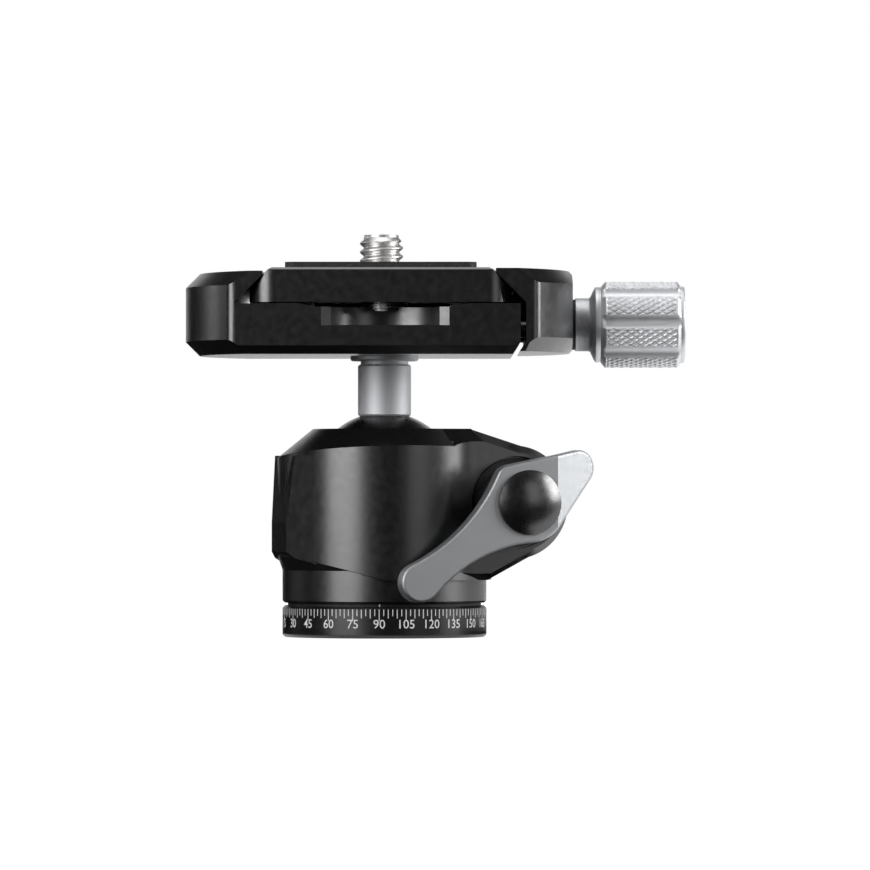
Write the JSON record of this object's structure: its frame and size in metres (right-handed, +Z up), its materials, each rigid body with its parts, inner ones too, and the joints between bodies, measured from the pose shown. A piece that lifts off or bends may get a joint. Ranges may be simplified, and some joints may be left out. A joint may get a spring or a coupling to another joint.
{
  "type": "tripod ball head",
  "caption": "Compact ball head with panning base, lever-locked ball in a notched housing, dovetail screw-knob clamp and a camera plate with mounting screw.",
  "frame": {"origin": "centre of the bottom face of the panning base, on the mouth of the tripod socket", "axes": "+Z up along the pan axis and the stem, +X to the right towards the clamp's knob, -Y towards the viewer of the picture"},
  "size_m": [0.0733, 0.0399, 0.0591],
  "materials": {
    "black_anodised": "black satin anodised, fine bead blast",
    "ball_black": "hard black anodised, polished",
    "dark_polymer": "dark sliding plastic",
    "spring_steel": "plain spring steel",
    "dark_steel": "black oxide steel",
    "silver_matte": "silver matte anodised",
    "silver_turned": "silver satin, turned",
    "silver_knob": "silver anodised, diamond knurl",
    "pad_rubber": "fine textured rubber",
    "bright_steel": "bright steel thread"
  },
  "bodies": {
    "base": {"pan_base": "black_anodised", "pan_washer": "dark_polymer", "base_clip": "spring_steel"},
    "head": {"housing": "black_anodised", "closing_ring": "black_anodised", "spring_plate": "spring_steel", "disc_spring": "spring_steel", "ball_cup": "dark_polymer", "lock_bolt": "dark_steel", "thrust_washer": "dark_polymer"},
    "lever": {"lever_hub": "dark_steel", "lock_lever": "silver_matte", "lever_screw": "dark_steel", "lever_cap": "black_anodised"},
    "ball": {"ball": "ball_black"},
    "clamp": {"ball_stud": "dark_steel", "stem_sleeve": "silver_turned", "stem_flange": "silver_turned", "clamp_body": "black_anodised", "clamp_bolt": "dark_steel", "guide_pin_front": "spring_steel", "guide_pin_back": "spring_steel"},
    "jaw": {"jaw": "black_anodised"},
    "knob": {"clamp_screw": "spring_steel", "screw_clip": "spring_steel", "knob_washer": "dark_polymer", "clamp_knob": "silver_knob", "knob_set_screw": "dark_steel"},
    "plate": {"plate": "black_anodised", "plate_pad": "pad_rubber", "stop_screw_front": "dark_steel", "stop_screw_back": "dark_steel"},
    "camera_screw": {"camera_screw": "bright_steel", "camera_clip": "spring_steel"}
  },
  "joints": [
    {"name": "pan", "type": "hinge", "parent": "base", "child": "head", "pos_m": [0, 0, 0.005], "axis": [0, 0, 1], "continuous": true},
    {"name": "lock_lever_turn", "type": "hinge", "parent": "head", "child": "lever", "pos_m": [0.0153, 0.00468, 0.01975], "axis": [0.2924, -0.9563, 0], "range_deg": [-45, 15]},
    {"name": "ball_tilt", "type": "hinge", "parent": "head", "child": "ball", "pos_m": [0, 0, 0.022], "axis": [-0.9563, -0.2924, 0], "range_deg": [-34, 90]},
    {"name": "ball_spin", "type": "hinge", "parent": "ball", "child": "clamp", "pos_m": [0, 0, 0.022], "axis": [0, 0, 1], "continuous": true},
    {"name": "jaw_slide", "type": "slide", "parent": "clamp", "child": "jaw", "axis": [1, 0, 0], "range_m": [0, 0.0028]},
    {"name": "knob_turn", "type": "hinge", "parent": "jaw", "child": "knob", "pos_m": [0.03, 0, 0.04585], "axis": [1, 0, 0], "range_deg": [0, 1440]},
    {"name": "plate_slide", "type": "slide", "parent": "clamp", "child": "plate", "axis": [0, 1, 0], "range_m": [-0.0015, 0.0015]},
    {"name": "camera_screw_turn", "type": "hinge", "parent": "plate", "child": "camera_screw", "pos_m": [-0.00043, 0, 0.055], "axis": [0, 0, 1], "continuous": true}
  ],
  "couplings": [
    {"joint": "knob_turn", "follows": "jaw_slide", "rad_per_m": 8976}
  ]
}
